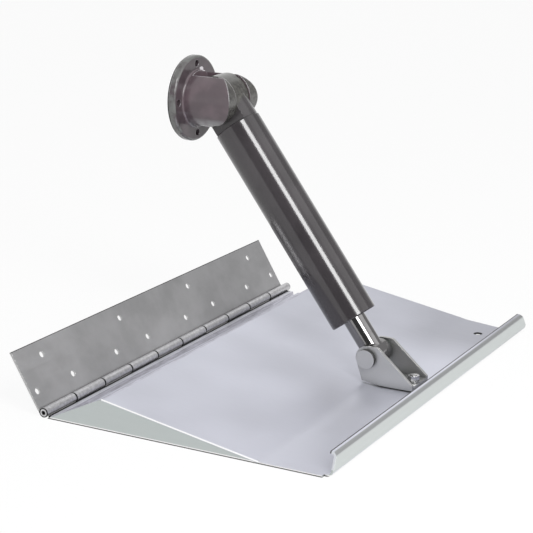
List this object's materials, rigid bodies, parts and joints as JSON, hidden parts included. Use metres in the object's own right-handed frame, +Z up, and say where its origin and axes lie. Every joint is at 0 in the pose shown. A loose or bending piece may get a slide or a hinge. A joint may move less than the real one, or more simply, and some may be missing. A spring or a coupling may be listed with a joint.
{
  "type": "boat trim tab",
  "caption": "Stainless trim tab: a folded wedge plate on a long hinge leaf, moved by a hydraulic ram between a clevis on the plate and a pivoting round flange.",
  "frame": {"origin": "middle of the hinge leaf's flat back, which goes against the transom", "axes": "+X along the hinge to the right, +Y forward to the boat, +Z up with the tab lying level"},
  "size_m": [0.3767, 0.2655, 0.2439],
  "materials": {
    "hinge_steel": "brushed stainless",
    "tab_steel": "satin stainless sheet",
    "bracket_steel": "satin stainless",
    "fastener_steel": "bright stainless",
    "rod_chrome": "polished",
    "barrel_black": "black anodised, half gloss",
    "piston_alloy": "turned",
    "mount_black": "glossy black enamel",
    "rubber_black": "matt",
    "bronze": "turned bearing bronze",
    "bush_plastic": "matt"
  },
  "bodies": {
    "transom_side": {"transom_leaf": "hinge_steel", "hinge_pin": "hinge_steel"},
    "tab": {"tab_hinge_leaf": "hinge_steel", "tab_plate": "tab_steel", "bottom_plate": "tab_steel", "clevis_bracket": "bracket_steel", "bracket_pad": "rubber_black", "clevis_studs": "fastener_steel", "stud_washers": "fastener_steel", "stud_nuts": "fastener_steel", "clevis_pin": "fastener_steel", "pin_washer": "fastener_steel", "pin_clip": "fastener_steel"},
    "ram": {"ram_rod": "rod_chrome", "rod_bushes": "bush_plastic", "piston": "piston_alloy", "piston_seals": "rubber_black", "wear_ring": "bronze", "piston_nut": "fastener_steel"},
    "barrel": {"barrel_tube": "barrel_black", "barrel_head": "barrel_black", "head_ring": "rubber_black", "rod_gland": "bronze", "gland_ring": "rubber_black", "rod_seal": "rubber_black", "rod_wiper": "rubber_black", "snap_ring": "fastener_steel", "return_spring": "fastener_steel", "pivot_bushes": "bush_plastic", "pivot_seals": "rubber_black"},
    "upper_mount": {"mount_flange": "mount_black", "flange_gasket": "rubber_black", "pivot_pin": "fastener_steel", "pin_plug": "mount_black"}
  },
  "joints": [
    {"name": "tab_hinge", "type": "hinge", "parent": "transom_side", "child": "tab", "pos_m": [0, -0.01596, -0.0199], "axis": [1, 0, 0], "range_deg": [-50, 60]},
    {"name": "clevis_pivot", "type": "hinge", "parent": "tab", "child": "ram", "pos_m": [0.005, -0.19416, -0.00065], "axis": [1, 0, 0], "range_deg": [-25, 45]},
    {"name": "ram_slide", "type": "slide", "parent": "ram", "child": "barrel", "axis": [0, 0.5885, 0.8085], "range_m": [-0.008, 0.049], "deforming": ["return_spring"]},
    {"name": "upper_pivot", "type": "hinge", "parent": "barrel", "child": "upper_mount", "pos_m": [0.005, -0.05696, 0.18785], "axis": [1, 0, 0], "range_deg": [-35, 50]}
  ]
}
